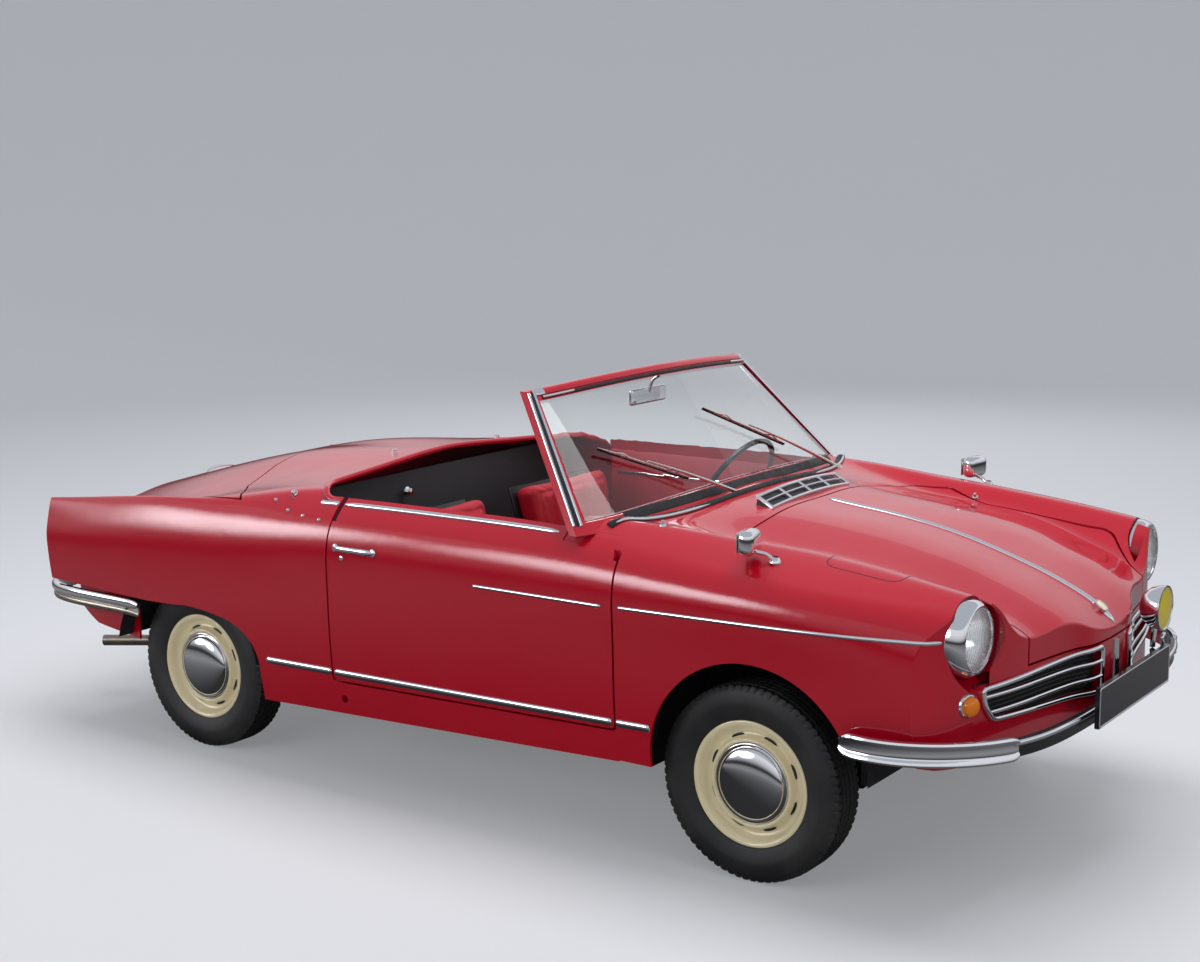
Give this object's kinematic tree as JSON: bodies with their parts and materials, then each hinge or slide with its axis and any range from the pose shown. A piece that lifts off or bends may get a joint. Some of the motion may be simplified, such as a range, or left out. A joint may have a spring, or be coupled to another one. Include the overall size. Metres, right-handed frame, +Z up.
{
  "type": "open two-seat roadster",
  "caption": "Small open two-seat roadster with steered front wheels, two doors, a front luggage lid and a rear engine lid, with its wheels free to roll.",
  "frame": {"origin": "on the ground, at the centre of the bounding box's underside", "axes": "+X forward, +Y to the car's left, +Z up"},
  "size_m": [3.58, 1.5444, 1.232],
  "materials": {
    "paint": "gloss enamel, deep red",
    "underbody": "matt black underseal",
    "cast_alloy": "as cast",
    "dash_trim": "grained vinyl",
    "black_metal": "semi-gloss",
    "red_vinyl": "sewn vinyl",
    "chrome": "polished",
    "glass": "clear",
    "wiper_metal": "satin",
    "lamp_glass": "fluted clear glass",
    "amber_glass": "yellow fluted glass",
    "orange_lens": "clear orange",
    "red_lens": "clear red",
    "plate_black": "gloss",
    "steel": "heat-stained",
    "black_plastic": "gloss",
    "tyre": "black rubber",
    "ivory_paint": "gloss ivory enamel"
  },
  "bodies": {
    "body": {"floor_pan": "underbody", "front_luggage_tub": "paint", "engine_bay": "underbody", "engine_block": "cast_alloy", "sills": "paint", "front_wing_left": "paint", "front_wing_right": "paint", "nose_panel": "paint", "scuttle_panel": "paint", "rear_wing_left": "paint", "rear_wing_right": "paint", "rear_deck": "paint", "tail_panel": "paint", "rear_valance": "paint", "dashboard": "dash_trim", "steering_column": "black_metal", "seat_left": "red_vinyl", "seat_right": "red_vinyl", "windscreen_frame": "chrome", "windscreen_glass": "glass", "wipers": "wiper_metal", "scuttle_vent": "chrome", "interior_mirror": "chrome", "wing_mirrors": "chrome", "headlights": "lamp_glass", "fog_lamp": "amber_glass", "front_indicators": "orange_lens", "tail_lamps": "red_lens", "grilles": "chrome", "front_bumper": "chrome", "rear_bumper": "chrome", "number_plates": "plate_black", "front_suspension": "black_metal", "rear_suspension": "black_metal", "exhaust": "steel"},
    "door_left": {"door_left": "paint"},
    "door_right": {"door_right": "paint"},
    "bonnet": {"bonnet": "paint"},
    "engine_lid": {"engine_lid": "paint"},
    "steering_wheel": {"steering_wheel": "black_plastic"},
    "knuckle_left": {"knuckle_left": "black_metal"},
    "knuckle_right": {"knuckle_right": "black_metal"},
    "wheel_front_left": {"tyre_front_left": "tyre", "rim_front_left": "ivory_paint"},
    "wheel_front_right": {"tyre_front_right": "tyre", "rim_front_right": "ivory_paint"},
    "wheel_rear_left": {"tyre_rear_left": "tyre", "rim_rear_left": "ivory_paint"},
    "wheel_rear_right": {"tyre_rear_right": "tyre", "rim_rear_right": "ivory_paint"}
  },
  "joints": [
    {"name": "door_left_hinge", "type": "hinge", "parent": "body", "child": "door_left", "pos_m": [0.644, 0.756, 0.6], "axis": [0, 0, -1], "range_deg": [0, 65]},
    {"name": "door_right_hinge", "type": "hinge", "parent": "body", "child": "door_right", "pos_m": [0.644, -0.756, 0.6], "axis": [0, 0, 1], "range_deg": [0, 65]},
    {"name": "bonnet_hinge", "type": "hinge", "parent": "body", "child": "bonnet", "pos_m": [0.864, 0, 0.889], "axis": [0, -1, 0], "range_deg": [0, 50]},
    {"name": "engine_lid_hinge", "type": "hinge", "parent": "body", "child": "engine_lid", "pos_m": [-0.764, 0, 0.886], "axis": [0, 1, 0], "range_deg": [0, 50]},
    {"name": "steer_left", "type": "hinge", "parent": "body", "child": "knuckle_left", "pos_m": [1.03, 0.5295, 0.262], "axis": [0, 0, 1], "range_deg": [-30, 30]},
    {"name": "steer_right", "type": "hinge", "parent": "body", "child": "knuckle_right", "pos_m": [1.03, -0.5295, 0.262], "axis": [0, 0, 1], "range_deg": [-30, 30]},
    {"name": "steering_wheel_turn", "type": "hinge", "parent": "body", "child": "steering_wheel", "pos_m": [0.365, 0.33, 0.802], "axis": [-0.88, 0, 0.475], "range_deg": [-420, 420]},
    {"name": "wheel_front_left_spin", "type": "hinge", "parent": "knuckle_left", "child": "wheel_front_left", "pos_m": [1.03, 0.6245, 0.262], "axis": [0, 1, 0], "continuous": true},
    {"name": "wheel_front_right_spin", "type": "hinge", "parent": "knuckle_right", "child": "wheel_front_right", "pos_m": [1.03, -0.6245, 0.262], "axis": [0, 1, 0], "continuous": true},
    {"name": "wheel_rear_left_spin", "type": "hinge", "parent": "body", "child": "wheel_rear_left", "pos_m": [-0.99, 0.6135, 0.262], "axis": [0, 1, 0], "continuous": true},
    {"name": "wheel_rear_right_spin", "type": "hinge", "parent": "body", "child": "wheel_rear_right", "pos_m": [-0.99, -0.6135, 0.262], "axis": [0, 1, 0], "continuous": true}
  ],
  "couplings": [
    {"joint": "steer_right", "follows": "steer_left", "ratio": 1},
    {"joint": "steering_wheel_turn", "follows": "steer_left", "ratio": 14}
  ]
}
